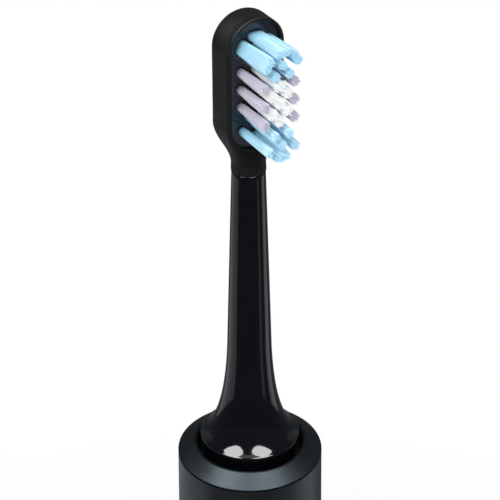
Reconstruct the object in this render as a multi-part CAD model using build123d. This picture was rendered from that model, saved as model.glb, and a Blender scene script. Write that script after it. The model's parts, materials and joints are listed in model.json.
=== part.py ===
from build123d import *
from math import cos, pi, radians, sin, sqrt
import os

# An electric toothbrush standing on its charger.
# Millimetres, +Z up, the bristles face -Y and the charger's inlet faces +Y.
# The origin is on the table, under the brush's long axis.

# Clearances
fit_gap = 0.1  # fixed pieces that slide into each other
run_gap = 0.05  # round the turning shaft, and between bonded or wound pieces
move_gap = 0.25  # round the button, which travels

# Charger
charger_r = 26.0
charger_h = 15.0
charger_wall = 1.8
charger_draft = 0.7
shoulder_r = 4.0
foot_round = 0.6
seat_round = 0.6
seat_depth = 2.0
seat_gap = 0.4
post_r = 3.8
post_h = 10.0
post_wall = 1.0
post_round = 1.2
post_gap = 0.4
pad_inset = 0.9
pad_h = 1.6
pad_proud = 0.7
base_h = 3.0
charger_screw_count = 3
charger_screw_start = 30.0
charger_screw_inset = 3.3
charger_screw_r = 1.0
charger_screw_l = 7.0
charger_screw_head_r = 1.9
charger_screw_head_h = 1.0
pillar_r = 2.3
standoff_inset = 3.0
standoff_r = 1.7
standoff_h = 1.4
stake_r = 0.8
stake_proud = 0.5
charger_board_gap = 0.9
board_h = 1.0
bobbin_r = 9.0
bobbin_wall = 0.8
coil_inset = 0.7

# Charging inlet, a 24-pin reversible socket
inlet_w = 8.94
inlet_h = 3.26
inlet_l = 7.35
inlet_wall = 0.3
inlet_back = 1.0
inlet_tongue_w = 6.69
inlet_tongue_h = 0.7
inlet_tongue_l = 4.45
inlet_set_back = 0.9
inlet_cutout_gap = 0.15
board_tongue_side = 1.3

# Handle
handle_r = 14.5
handle_swell = 0.35
handle_l = 158.0
shell_wall = 1.2
cap_h = 5.0
cap_edge = 1.0
cap_floor = 2.0
spigot_over = 2.6
spigot_wall = 2.6
recess_wall = 1.0
seal_r = 0.8
seal_up = 3.0
charge_coil_t = 2.6
charge_coil_h = 7.0

# Inner frame, battery and board
frame_wall = 1.4
frame_floor = 1.5
rail_w = 1.8
rail_t = 1.2
cradle_h = 1.6
cradle_count = 2
battery_r = 7.0
battery_l = 49.0
battery_nub_r = 2.5
battery_nub_h = 1.0
battery_y = 2.6
tab_t = 0.3
tab_w = 4.0
board_w = 16.0
chip_w = 6.0
chip_h = 1.0
chip_up = 22.0

# Button, switch and lamps
button_w = 9.0
button_h = 15.0
button_motor_gap = 8.6
button_seal_t = 1.2
button_round = 0.5
button_proud = 0.4
button_dish_r = 40.0
button_dish_depth = 0.5
button_flange = 0.9
button_flange_t = 1.0
button_travel = 0.5
switch_w = 5.0
switch_h = 1.8
switch_hole_depth = 1.2
plunger_r = 1.1
plunger_in = 0.3
lamp_count = 4
lamp_pitch = 4.2
lamp_w = 1.0
lamp_h = 0.5
lamp_drop = 30.0
lens_w = 2.4
lens_flange = 0.9

# Collar, seal and drive
collar_edge_h = 0.5
collar_seam_h = 0.35
collar_seam_depth = 0.5
collar_mouth_gap = 0.35
collar_rise = 2.65
collar_lip_round = 0.6
collar_edge_round = 0.2
collar_floor_drop = 0.8
collar_spigot_h = 8.0
collar_hub_wall = 1.4
collar_roof = 1.6
collar_skirt = 2.6
boot_r = 5.9
boot_wall = 1.0
boot_lip_h = 1.0
boot_lip_w = 0.9
motor_r = 11.0
motor_l = 38.0
motor_wall = 0.8
motor_plate_h = 2.2
bearing_r = 4.0
stator_l = 20.0
yoke_t = 1.9
pole_w = 4.0
air_gap = 0.4
pole_shoe_t = 1.0
pole_shoe_arc = 84.0
winding_t = 1.3
rotor_r = 3.2
rotor_over = 1.0
magnet_r = 4.6
magnet_arc = 140.0
shaft_r = 2.0
shaft_out = 17.0
shaft_flat = 0.5
shaft_flat_l = 10.0
shaft_tip = 0.4

# Brush head, its lower heights from the collar's outer edge, its upper ones from the neck's top
head_gap = 0.8
bell_r = 9.41
bell_z = 5.0
bell_round = 1.1
bell_wall = 1.4
bell_hollow = 2.9
bell_angle = 72.0
bell_pull = 3.2
flare_z = 25.9
flare_r = 4.37
flare_pull = 9.0
neck_r = 3.27
neck_z = 65.1
neck_round = 0.3
insert_r = 3.6
insert_roof = 1.5
insert_lift = 0.6
insert_flange_h = 1.6
clip_z = 9.0
clip_h = 2.2
clip_t = 0.45
clip_mouth = 70.0
tenon_r = 2.2
blade_w = 7.4
blade_t = 1.8
blade_front = 0.1
blade_up = 3.4
blade_inset = 2.2
head_w = 12.8
head_l = 32.7
head_side_up = 11.6
head_front = 2.7
head_back = 3.8
head_front_round = 0.4
head_back_round = 2.2
head_bow = 0.24
head_swell_shares = (0, 0.2, 0.5, 0.8, 1)
head_face_share = 0.5
neck_bead = 0.03
neck_flat = 0.15
neck_l = 0.9
rim_w = 0.65
rim_up = 5.9
rim_t = 1.6
rim_round = 0.2
rim_inset = 0.4
rim_over = 0.08
rim_proud = 0.3
face_drop = 0.7
plate_t = 1.6

# Bristles, placed across the head and, as shares of the way to the end tufts, along it
field_shift = -0.065
field_margin = 2.815
tuft_r = 0.95
tuft_row_share = 0.345
lavender_x = 3.2
white_x = 1.6
side_tuft_x = 1.5
side_tuft_share = 0.573
inner_tuft_share = 0.767
end_tuft_half = 0.72
heel_tuft_x = 2.85
heel_tuft_share = 0.85
toe_tuft_x = 3.05
toe_tuft_share = 0.835
toe_tuft_half = 0.6
toe_tuft_turn = 62.0
tuft_root = 1.1
short_l = 8.6
long_l = 9.4
splay = 0.06
field_fan = 0.004
strands_per_tuft = 14
strand_r = 0.15
strand_sides = 3
strand_turn = 40.0
golden_angle = pi * (3 - sqrt(5))

# Heights that follow from the sizes above
rim_z = pad_proud
base_top = rim_z + base_h
screw_seat_z = pad_h + charger_screw_head_h
screw_end_z = screw_seat_z + charger_screw_l
seat_z = charger_h - seat_depth
ceiling_z = seat_z - charger_wall
post_top = seat_z + post_h
charger_board_z = base_top + standoff_h
charger_board_top = charger_board_z + board_h
handle_top = seat_z + handle_l
shell_bottom = seat_z + cap_h
shell_top = handle_top - collar_edge_h
recess_top = seat_z + post_h + post_gap
frame_z = recess_top + recess_wall + spigot_over
motor_top = handle_top - collar_spigot_h
motor_z = motor_top - motor_l
flange_w = button_w + 2 * button_flange
flange_h = button_h + 2 * button_flange
button_z = motor_z - button_motor_gap - flange_h / 2
lens_z = button_z - lamp_drop
collar_floor_z = handle_top - collar_floor_drop
skirt_z = collar_floor_z + head_gap
insert_top = shaft_out + insert_roof
head_top_z = neck_z + head_l
head_side_z = neck_z + head_side_up
rim_bottom_z = neck_z + rim_up
rim_top_z = head_top_z + rim_over
face_top_z = rim_top_z - rim_w
field_z = (face_top_z + rim_bottom_z) / 2 + field_shift

# Radii and places that follow from the sizes above
charger_in_r = charger_r - charger_draft - charger_wall
base_r = charger_in_r - fit_gap
pad_r = base_r - pad_inset
charger_screw_circle = charger_in_r - charger_screw_inset
charger_board_r = charger_screw_circle - pillar_r - charger_board_gap
standoff_circle = charger_board_r - standoff_inset
handle_mid_r = handle_r + handle_swell
bore_r = handle_r - shell_wall
seat_r = handle_r + seat_gap
ferrite_r = post_r - post_wall - fit_gap
spigot_r = bore_r - fit_gap
recess_r = post_r + post_gap
frame_r = bore_r - fit_gap
flange_front = sqrt(bore_r ** 2 - (flange_w / 2) ** 2) - button_seal_t
flange_back = flange_front - button_flange_t
switch_front = flange_back - button_travel - run_gap
board_front = switch_front - switch_h
board_back = board_front - board_h
lip_r = bell_r - bell_round * cos(radians(bell_angle))
lip_z = bell_z - bell_round * sin(radians(bell_angle))
skirt_r = lip_r + bell_round
collar_mouth_r = skirt_r + collar_mouth_gap
blade_back = blade_front - blade_t
rim_front = head_front + rim_proud
face_front = rim_front - face_drop
plate_back = face_front - plate_t
head_r = head_w / 2
face_r = head_r - rim_inset - rim_w
head_arc_z = head_top_z - head_r
end_tuft_z = (face_top_z - rim_bottom_z) / 2 - field_margin
tuft_row = tuft_row_share * end_tuft_z
side_tuft_z = side_tuft_share * end_tuft_z
inner_tuft_z = inner_tuft_share * end_tuft_z
heel_tuft_z = heel_tuft_share * end_tuft_z
toe_tuft_z = toe_tuft_share * end_tuft_z


def disc(r, low, high, x=0, y=0):
    """A round bar from one height to another."""
    bar = Cylinder(r, high - low, align=(Align.CENTER, Align.CENTER, Align.MIN))
    return Pos(x, y, low) * bar


def tube(outer, inner, low, high):
    """A round tube from one height to another."""
    return disc(outer, low, high) - disc(inner, low, high)


def block(x0, x1, y0, y1, z0, z1):
    """A box between two corners."""
    return Pos((x0 + x1) / 2, (y0 + y1) / 2, (z0 + z1) / 2) * Box(x1 - x0, y1 - y0, z1 - z0)


def turned(*lines):
    """A solid turned about the long axis from a closed outline of radius and height."""
    return revolve(Plane.XZ * make_face(Curve() + list(lines)), Axis.Z)


def front_slot(width, height, z, front, back):
    """An upright round-ended prism between two distances in front of the axis."""
    plane = Plane((0, -back, z), x_dir=(1, 0, 0), z_dir=(0, -1, 0))
    return extrude(plane * Rot(0, 0, 90) * SlotOverall(height, width), front - back)


def around(solid, count, start):
    """Copies of a solid, evenly turned about the long axis."""
    return [Rot(0, 0, start + 360 / count * step) * solid for step in range(count)]


def sector(outer, inner, low, high, arc, middle):
    """A part of a tube, centred on one direction, in degrees."""
    ring_face = Plane.XZ * (Pos((outer + inner) / 2, (low + high) / 2) * Rectangle(outer - inner, high - low))
    return Rot(0, 0, middle - arc / 2) * revolve(ring_face, Axis.Z, arc)


def save(name, *solids):
    """Writes one node, which may hold several separate solids."""
    shape = solids[0] if len(solids) == 1 else Compound(children=list(solids))
    export_step(shape, f"parts/{name}.step")


# Charger

def charger_outside():
    """The outer form of the housing: a drafted puck with a dished seat and a post."""
    side_r = charger_r - charger_draft
    land_r = side_r - shoulder_r
    shoulder_z = charger_h - shoulder_r
    lip_r = seat_r + seat_round
    return turned(
        Polyline((0, rim_z), (charger_r - foot_round, rim_z), (charger_r, rim_z + foot_round),
                 (side_r, shoulder_z)),
        CenterArc((land_r, shoulder_z), shoulder_r, 0, 90),
        Line((land_r, charger_h), (lip_r, charger_h)),
        CenterArc((lip_r, charger_h - seat_round), seat_round, 90, 90),
        Polyline((seat_r, charger_h - seat_round), (seat_r, seat_z), (post_r, seat_z),
                 (post_r, post_top - post_round)),
        CenterArc((post_r - post_round, post_top - post_round), post_round, 0, 90),
        Polyline((post_r - post_round, post_top), (0, post_top), (0, rim_z)),
    )


def charger_inside():
    """The hollow of the housing, one wall in from its outer form."""
    land_r = charger_r - charger_draft - shoulder_r
    shoulder_z = charger_h - shoulder_r
    post_in = post_r - post_wall
    return turned(
        Polyline((0, rim_z), (charger_r - charger_wall, rim_z), (charger_in_r, shoulder_z)),
        CenterArc((land_r, shoulder_z), shoulder_r - charger_wall, 0, 90),
        Polyline((land_r, charger_h - charger_wall), (seat_r + charger_wall, charger_h - charger_wall),
                 (seat_r + charger_wall, ceiling_z), (post_in, ceiling_z), (post_in, post_top - post_wall),
                 (0, post_top - post_wall), (0, rim_z)),
    )


def inlet_slot(grow, back, front):
    """The inlet's round-ended section, running along Y between two distances behind the axis."""
    middle = charger_board_top + inlet_h / 2
    plane = Plane((0, back, middle), x_dir=(1, 0, 0), z_dir=(0, 1, 0))
    return extrude(plane * SlotOverall(inlet_w + 2 * grow, inlet_h + 2 * grow), front - back)


inlet_mouth = charger_r - inlet_set_back
inlet_rear = inlet_mouth - inlet_l


def make_charger_housing():
    outside = charger_outside()
    pillar = disc(pillar_r, base_top, charger_h, charger_screw_circle) & outside
    hole = disc(charger_screw_r + run_gap, base_top, screw_end_z + fit_gap, charger_screw_circle)
    housing = outside - charger_inside()
    housing = housing + around(pillar, charger_screw_count, charger_screw_start)
    housing = housing - around(hole, charger_screw_count, charger_screw_start)
    return housing - inlet_slot(inlet_cutout_gap, inlet_rear, charger_r + charger_wall)


def make_charger_base():
    plate = disc(base_r, rim_z, base_top)
    plate = plate - disc(pad_r + fit_gap, rim_z, pad_h)
    head_hole = disc(charger_screw_head_r + fit_gap, pad_h, screw_seat_z, charger_screw_circle)
    shank_hole = disc(charger_screw_r + fit_gap, pad_h, base_top, charger_screw_circle)
    plate = plate - around(head_hole + shank_hole, charger_screw_count, charger_screw_start)
    standoff = disc(standoff_r, base_top, charger_board_z, standoff_circle)
    stake = disc(stake_r, base_top, charger_board_top + stake_proud, standoff_circle)
    return plate + around(standoff + stake, charger_screw_count, -charger_screw_start)


def make_charger_screws():
    head = disc(charger_screw_head_r, pad_h, screw_seat_z, charger_screw_circle)
    shank = disc(charger_screw_r, pad_h, screw_end_z, charger_screw_circle)
    return around(head + shank, charger_screw_count, charger_screw_start)


def make_charger_board():
    tongue = inlet_w / 2 + board_tongue_side
    tongue_end = sqrt(charger_in_r ** 2 - tongue ** 2) - fit_gap
    board = disc(charger_board_r, charger_board_z, charger_board_top)
    board = board + block(-tongue, tongue, 0, tongue_end, charger_board_z, charger_board_top)
    board = board - disc(ferrite_r + fit_gap, charger_board_z, charger_board_top)
    hole = disc(stake_r + fit_gap, charger_board_z, charger_board_top, standoff_circle)
    return board - around(hole, charger_screw_count, -charger_screw_start)


bobbin_low = charger_board_top
bobbin_high = ceiling_z - fit_gap
bobbin_core = ferrite_r + fit_gap + bobbin_wall


def make_charger_bobbin():
    spool = disc(bobbin_core, bobbin_low, bobbin_high)
    spool = spool + disc(bobbin_r, bobbin_low, bobbin_low + bobbin_wall)
    spool = spool + disc(bobbin_r, bobbin_high - bobbin_wall, bobbin_high)
    return spool - disc(ferrite_r + fit_gap, bobbin_low, bobbin_high)


def make_charger_coil():
    return tube(bobbin_r - coil_inset, bobbin_core + run_gap,
                bobbin_low + bobbin_wall + run_gap, bobbin_high - bobbin_wall - run_gap)


def make_charging_inlet():
    shell = inlet_slot(0, inlet_rear, inlet_mouth)
    shell = shell - inlet_slot(-inlet_wall, inlet_rear + inlet_back, inlet_mouth)
    middle = charger_board_top + inlet_h / 2
    tongue_end = inlet_rear + inlet_back + inlet_tongue_l
    return shell + block(-inlet_tongue_w / 2, inlet_tongue_w / 2, inlet_rear, tongue_end,
                         middle - inlet_tongue_h / 2, middle + inlet_tongue_h / 2)


# Handle

def barrel(grow, low, high):
    """The handle's outer form, a slightly swollen cylinder, between two heights."""
    middle = seat_z + handle_l / 2
    pull_r = 2 * handle_mid_r - handle_r + grow
    swell = Bezier((handle_r + grow, seat_z), (pull_r, middle), (handle_r + grow, handle_top))
    whole = turned(
        Polyline((0, seat_z), (handle_r + grow, seat_z)),
        swell,
        Polyline((handle_r + grow, handle_top), (0, handle_top), (0, seat_z)),
    )
    return whole & disc(handle_mid_r + grow + shell_wall, low, high)


lens_h = lamp_pitch * (lamp_count - 1) + lens_w


def make_handle_shell():
    shell = barrel(0, shell_bottom, shell_top) - disc(bore_r, shell_bottom, shell_top)
    reach = handle_mid_r + shell_wall
    shell = shell - front_slot(button_w + 2 * move_gap, button_h + 2 * move_gap, button_z, reach, 0)
    return shell - front_slot(lens_w + 2 * run_gap, lens_h + 2 * run_gap, lens_z, reach, 0)


def seal_groove(height):
    """The cut for an O-ring in a spigot."""
    floor_r = bore_r - 2 * seal_r - 2 * run_gap
    return tube(bore_r, floor_r, height - seal_r - fit_gap, height + seal_r + fit_gap)


def make_seal(height):
    return Pos(0, 0, height) * Torus(bore_r - seal_r - run_gap, seal_r)


bottom_seal_z = shell_bottom + seal_up
top_seal_z = shell_top - seal_up
trough_r = recess_r + recess_wall


def make_bottom_cap():
    band = barrel(0, seat_z, shell_bottom)
    band = fillet(band.edges().group_by(Axis.Z)[0], cap_edge)
    cap = band + disc(spigot_r, shell_bottom, frame_z)
    trough = tube(spigot_r - spigot_wall, trough_r, seat_z + cap_floor, frame_z)
    over_recess = disc(trough_r, recess_top + recess_wall, frame_z)
    recess = disc(recess_r, seat_z, recess_top)
    return cap - trough - over_recess - recess - seal_groove(bottom_seal_z)


def make_charge_coil():
    inner = trough_r + fit_gap
    low = seat_z + cap_floor
    return tube(inner + charge_coil_t, inner, low, low + charge_coil_h)


battery_z = frame_z + frame_floor + tab_t
battery_top = battery_z + battery_l + battery_nub_h
mid_floor_z = battery_top + tab_t
frame_top = motor_z


def frame_bay(low, high):
    """The space between two cross walls of the inner frame, open at the front but for its two rails."""
    bay = disc(frame_r - frame_wall, low, high) + block(-bore_r, bore_r, -bore_r, 0, low, high)
    rail_out = board_w / 2
    for side in (-1, 1):
        edges = sorted((side * rail_out, side * (rail_out - rail_w)))
        bay = bay - block(*edges, -board_back, -board_back + rail_t, low, high)
    return bay


def battery_cradle(height):
    """A rib across the back of the inner frame, hollowed to fit the battery."""
    top = height + cradle_h
    rib = disc(bore_r, height, top) & block(-bore_r, bore_r, battery_y, bore_r, height, top)
    return rib - disc(battery_r + fit_gap, height, top, 0, battery_y)


def make_inner_frame():
    open_front = block(-bore_r, bore_r, -bore_r, -board_back, frame_z, frame_top)
    frame = disc(frame_r, frame_z, frame_top) - open_front
    lower_bay = frame_bay(frame_z + frame_floor, mid_floor_z)
    for step in range(cradle_count):
        middle = battery_z + battery_l * (step + 1) / (cradle_count + 1)
        lower_bay = lower_bay - battery_cradle(middle - cradle_h / 2)
    frame = frame - lower_bay - frame_bay(mid_floor_z + frame_floor, frame_top - frame_floor)
    return frame - disc(bearing_r, frame_top - frame_floor, frame_top)


def make_battery():
    body_top = battery_z + battery_l
    return disc(battery_r, battery_z, body_top, 0, battery_y) + disc(
        battery_nub_r, body_top, battery_top, 0, battery_y)


def make_battery_tabs():
    low = block(-tab_w / 2, tab_w / 2, -board_back, battery_y, battery_z - tab_t, battery_z)
    high = block(-tab_w / 2, tab_w / 2, -board_back, battery_y, battery_top, battery_top + tab_t)
    return [low, high]


def make_main_board():
    low = frame_z + frame_floor
    return block(-board_w / 2, board_w / 2, -board_front, -board_back, low, frame_top - frame_floor)


def make_controller_chip():
    middle = frame_z + chip_up
    return block(-chip_w / 2, chip_w / 2, -board_front - chip_h, -board_front,
                 middle - chip_w / 2, middle + chip_w / 2)


def front_pin(r, z, front, back):
    """A round pin lying along Y between two distances in front of the axis."""
    plane = Plane((0, -back, z), x_dir=(1, 0, 0), z_dir=(0, -1, 0))
    return extrude(plane * Circle(r), front - back)


def make_tact_switch():
    body = block(-switch_w / 2, switch_w / 2, -switch_front, -board_front,
                 button_z - switch_w / 2, button_z + switch_w / 2)
    return body - front_pin(plunger_r + fit_gap, button_z, switch_front, switch_front - switch_hole_depth)


def make_switch_plunger():
    return front_pin(plunger_r, button_z, flange_back, switch_front - plunger_in)


def make_power_button():
    reach = handle_mid_r + button_proud + shell_wall
    key = front_slot(button_w, button_h, button_z, reach, flange_back)
    key = key & barrel(button_proud, shell_bottom, shell_top)
    dish_y = -(handle_mid_r + button_proud - button_dish_depth + button_dish_r)
    key = key - Pos(0, dish_y, button_z) * Sphere(button_dish_r)
    key = fillet(key.edges().filter_by(lambda edge: edge.center().Y < -bore_r), button_round)
    return key + front_slot(flange_w, flange_h, button_z, flange_front, flange_back)


def make_button_seal():
    reach = handle_mid_r
    outer = front_slot(flange_w, flange_h, button_z, reach, flange_front)
    inner = front_slot(button_w + 2 * move_gap, button_h + 2 * move_gap, button_z, reach, flange_front)
    inside = disc(bore_r - run_gap, shell_bottom, shell_top)
    return (outer - inner) & inside


def make_status_lamps():
    lamps = []
    for step in range(lamp_count):
        middle = lens_z + (step - (lamp_count - 1) / 2) * lamp_pitch
        lamps.append(block(-lamp_w / 2, lamp_w / 2, -board_front - lamp_h, -board_front,
                           middle - lamp_w / 2, middle + lamp_w / 2))
    return lamps


def make_status_lens():
    reach = handle_mid_r + shell_wall
    back = board_front + lamp_h + fit_gap
    bar = front_slot(lens_w, lens_h, lens_z, reach, back) & barrel(0, shell_bottom, shell_top)
    wide = lens_w + 2 * lens_flange
    lip_back = sqrt(bore_r ** 2 - (wide / 2) ** 2) - lens_flange
    lip = front_slot(wide, lens_h + 2 * lens_flange, lens_z, reach, lip_back)
    return bar + (lip & disc(bore_r - run_gap, shell_bottom, shell_top))


# Collar and drive

def make_top_collar():
    top = handle_top + collar_rise
    hub_r = boot_r + fit_gap
    seam_r = handle_r - collar_seam_depth
    seam_top = shell_top + collar_seam_h
    ring = turned(
        Polyline((hub_r, motor_top), (spigot_r, motor_top), (spigot_r, shell_top), (seam_r, shell_top),
                 (seam_r, seam_top), (handle_r, seam_top), (handle_r, handle_top), (collar_mouth_r, top),
                 (collar_mouth_r, collar_floor_z), (hub_r, collar_floor_z), (hub_r, motor_top)),
    )
    hollow = tube(spigot_r - collar_skirt, hub_r + collar_hub_wall, motor_top, collar_floor_z - collar_roof)
    ring = fillet(ring.edges().group_by(Axis.Z)[-1], collar_lip_round)
    outer_edge = ring.edges().filter_by_position(Axis.Z, handle_top, handle_top).sort_by(SortBy.LENGTH)[-1]
    return fillet(outer_edge, collar_edge_round) - hollow - seal_groove(top_seal_z)


def make_shaft_boot():
    hole = shaft_r + run_gap
    lip_r = hole + boot_lip_w
    lip_top = collar_floor_z + boot_lip_h
    fold = boot_wall / 2
    return turned(
        Polyline((hole, collar_floor_z), (hole, lip_top), (lip_r, lip_top),
                 (lip_r + fold, collar_floor_z), (boot_r, collar_floor_z - fold), (boot_r, motor_top),
                 (boot_r - boot_wall, motor_top), (boot_r - boot_wall, collar_floor_z - fold - boot_wall),
                 (lip_r, collar_floor_z - boot_wall), (hole, collar_floor_z)),
    )


def make_motor_case():
    return tube(motor_r, motor_r - motor_wall, motor_z + motor_plate_h, motor_top - motor_plate_h)


def make_motor_plate(low):
    return tube(motor_r, bearing_r + run_gap, low, low + motor_plate_h)


def make_bearing(low):
    return tube(bearing_r, shaft_r + run_gap, low, low + motor_plate_h)


stator_z = (motor_z + motor_top) / 2
stator_r = motor_r - motor_wall - run_gap
yoke_in = stator_r - yoke_t
pole_shoe_r = magnet_r + air_gap
shoe_out = pole_shoe_r + pole_shoe_t


def make_stator_core():
    low = stator_z - stator_l / 2
    high = stator_z + stator_l / 2
    core = tube(stator_r, yoke_in, low, high)
    for side in (-1, 1):
        edges = sorted((side * (pole_shoe_r + pole_shoe_t / 2), side * (yoke_in + yoke_t / 2)))
        core = core + block(*edges, -pole_w / 2, pole_w / 2, low, high)
        core = core + sector(shoe_out, pole_shoe_r, low, high, pole_shoe_arc, 90 - side * 90)
    return core


def make_stator_windings():
    windings = []
    half_w = pole_w / 2 + run_gap
    half_l = stator_l / 2 + run_gap
    winding_out = sqrt(yoke_in ** 2 - (half_w + winding_t) ** 2) - run_gap
    for side in (-1, 1):
        edges = sorted((side * (shoe_out + run_gap), side * winding_out))
        bundle = block(*edges, -half_w - winding_t, half_w + winding_t,
                       stator_z - half_l - winding_t, stator_z + half_l + winding_t)
        windings.append(bundle - block(*edges, -half_w, half_w, stator_z - half_l, stator_z + half_l))
    return windings


def make_rotor_hub():
    half = stator_l / 2 + rotor_over
    return tube(rotor_r, shaft_r + run_gap, stator_z - half, stator_z + half)


def make_rotor_magnets():
    low = stator_z - stator_l / 2
    inner = rotor_r + run_gap
    return [sector(magnet_r, inner, low, low + stator_l, magnet_arc, side * 90) for side in (-1, 1)]


def shaft_form(grow, low, high):
    """The drive shaft's section, with the flat that turns the head, from one height to another."""
    bar = disc(shaft_r + grow, low, high)
    flat_low = handle_top + shaft_out - shaft_flat_l + grow
    flat = block(-bore_r, bore_r, -bore_r, -(shaft_r - shaft_flat) - grow, flat_low, high)
    return bar - flat


def make_drive_shaft():
    top = handle_top + shaft_out
    shaft = shaft_form(0, motor_z, top)
    return chamfer(shaft.edges().group_by(Axis.Z)[-1], shaft_tip)


# Brush head

def head_up(height):
    """A height on the head, measured from the collar's outer edge."""
    return handle_top + height


def blade_form(grow):
    """The stem's hidden core, a pin and a flat blade that the soft cover is moulded onto."""
    pin = disc(tenon_r + grow, head_up(neck_z), head_up(rim_bottom_z - rim_w) + grow)
    low = neck_z + blade_up
    high = head_top_z - blade_inset
    middle = head_up((low + high) / 2)
    width = blade_w + 2 * grow
    height = high - low + 2 * grow
    return pin + front_slot(width, height, middle, blade_front + grow, blade_back - grow)


def make_head_stem():
    start = Vector(flare_r, head_up(flare_z))
    taper = Vector(flare_r - neck_r, flare_z - neck_z).normalized()
    edge = Vector(bell_r, head_up(bell_z))
    outwards = Vector(sin(radians(bell_angle)), -cos(radians(bell_angle)))
    flare = Bezier(start, start + taper * flare_pull, edge - outwards * bell_pull, edge)
    stem = turned(
        Polyline((0, skirt_z), (skirt_r, skirt_z), (skirt_r, head_up(lip_z))),
        CenterArc((lip_r, head_up(lip_z)), bell_round, 0, bell_angle),
        flare,
        Line(start, (neck_r, head_up(neck_z) - neck_round)),
        CenterArc((neck_r - neck_round, head_up(neck_z) - neck_round), neck_round, 0, 90),
        Polyline((neck_r - neck_round, head_up(neck_z)), (0, head_up(neck_z)), (0, skirt_z)),
    )
    stem = stem + blade_form(0)
    stem = stem - disc(skirt_r - bell_wall, skirt_z, head_up(bell_hollow))
    return stem - disc(insert_r + run_gap, skirt_z, head_up(insert_top + run_gap))


def make_head_insert():
    low = skirt_z + insert_lift
    body = disc(insert_r, low, head_up(insert_top))
    body = body + disc(skirt_r - bell_wall - fit_gap, low, low + insert_flange_h)
    bore = shaft_form(run_gap, low, head_up(shaft_out) + fit_gap)
    groove = tube(insert_r, insert_r - clip_t - run_gap, head_up(clip_z), head_up(clip_z + clip_h))
    return body - bore - groove


def make_head_clip():
    low = head_up(clip_z) + run_gap
    return sector(insert_r, insert_r - clip_t, low, low + clip_h - 2 * run_gap, 360 - clip_mouth, 90)


def head_section(height, half_w, front, back, front_round, back_round, bow):
    """A rounded section across the head at one height, its sides bowed out towards the back."""
    front_w = half_w - bow
    front_y = front_round - front
    back_y = back - back_round
    corners = (
        (front_w - front_round, front_y, front_round, -90),
        (half_w - back_round, back_y, back_round, 0),
        (back_round - half_w, back_y, back_round, 90),
        (front_round - front_w, front_y, front_round, 180),
    )
    arcs = [CenterArc((x, y), r, start, 90) for x, y, r, start in corners]
    middle = (front_y + back_y) / 2
    sides = [
        Bezier(arcs[0] @ 1, (half_w, middle), arcs[1] @ 0),
        Line(arcs[1] @ 1, arcs[2] @ 0),
        Bezier(arcs[2] @ 1, (-half_w, middle), arcs[3] @ 0),
        Line(arcs[3] @ 1, arcs[0] @ 0),
    ]
    return Pos(0, 0, head_up(height)) * make_face(Curve() + arcs + sides)


def eased(share):
    """A smooth rise from 0 to 1, level at both ends."""
    return share ** 3 * (10 - 15 * share + 6 * share ** 2)


def head_outside():
    """The soft cover's outer form: a round neck that swells into a flat-fronted, round-topped head."""
    collar_r = neck_r + neck_bead
    neck_corner = collar_r - neck_flat
    swell_low = neck_z + neck_l
    stages = []
    for share in head_swell_shares:
        ease = eased(share)
        face_ease = eased(min(1, share / head_face_share))
        stages.append(head_section(
            swell_low + share * (head_side_z - swell_low),
            collar_r + ease * (head_r - collar_r),
            collar_r + face_ease * (head_front - collar_r),
            collar_r + ease * (head_back - collar_r),
            neck_corner + ease * (head_front_round - neck_corner),
            neck_corner + ease * (head_back_round - neck_corner),
            ease * head_bow,
        ))
    neck = head_section(neck_z, collar_r, collar_r, collar_r, neck_corner, neck_corner, 0)
    full_sizes = (head_r, head_front, head_back, head_front_round, head_back_round, head_bow)
    full = head_section(head_side_z, *full_sizes)
    top = head_section(head_arc_z, *full_sizes)
    half = top & Pos(head_r, 0, head_up(head_arc_z)) * Rectangle(head_w, 2 * (head_front + head_back))
    round_top = revolve(half, Axis((0, 0, head_up(head_arc_z)), (0, -1, 0)), 180)
    form = extrude(neck, neck_l) + loft(stages) + extrude(full, head_arc_z - head_side_z)
    return form + round_top


def face_slot(grow, front, back):
    """The round-ended outline of the bristle face, between two distances in front of the axis."""
    height = face_top_z - rim_bottom_z
    middle = head_up((face_top_z + rim_bottom_z) / 2)
    return front_slot(2 * (face_r + grow), height + 2 * grow, middle, front, back)


def rim_ring():
    """The raised rim round the bristle face, its front edges rounded."""
    back = rim_front - rim_t
    ring = face_slot(rim_w, rim_front, back) - face_slot(0, rim_front, back)
    return fillet(ring.edges().group_by(Axis.Y)[0], rim_round)


def make_head_cover():
    cover = head_outside() - face_slot(0, head_front + head_r, plate_back)
    return cover + rim_ring() - blade_form(run_gap)


def mirrored(x, z, half=0):
    """A tuft and its mirror images across the middle of the bristle field, as place, half length and turn."""
    spots = []
    for side in sorted({-1, 1} if x else {1}):
        for end in sorted({-1, 1} if z else {1}):
            spots.append((side * x, end * z, half, 0))
    return spots


lavender_spots = mirrored(lavender_x, 0) + mirrored(lavender_x, tuft_row)
white_spots = mirrored(0, 0) + mirrored(0, tuft_row) + mirrored(white_x, tuft_row / 2)
blue_spots = mirrored(side_tuft_x, side_tuft_z) + mirrored(0, inner_tuft_z)
blue_spots = blue_spots + mirrored(0, end_tuft_z, end_tuft_half)
for side in (-1, 1):
    blue_spots.append((side * heel_tuft_x, -heel_tuft_z, 0, 0))
    blue_spots.append((side * toe_tuft_x, toe_tuft_z, toe_tuft_half, -side * toe_tuft_turn))


def tuft_plug(spot, r):
    """A tuft's root in the plate, round or drawn out along one direction."""
    x, z, half, turn = spot
    plane = Plane((x, tuft_root - face_front, head_up(field_z + z)), x_dir=(1, 0, 0), z_dir=(0, -1, 0))
    outline = Rot(0, 0, turn) * SlotCenterToCenter(2 * half, 2 * r) if half else Circle(r)
    return extrude(plane * outline, tuft_root)


def make_tuft_plate():
    holes = [tuft_plug(spot, tuft_r + run_gap) for spot in lavender_spots + white_spots + blue_spots]
    return face_slot(-run_gap, face_front, plate_back) - holes


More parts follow.
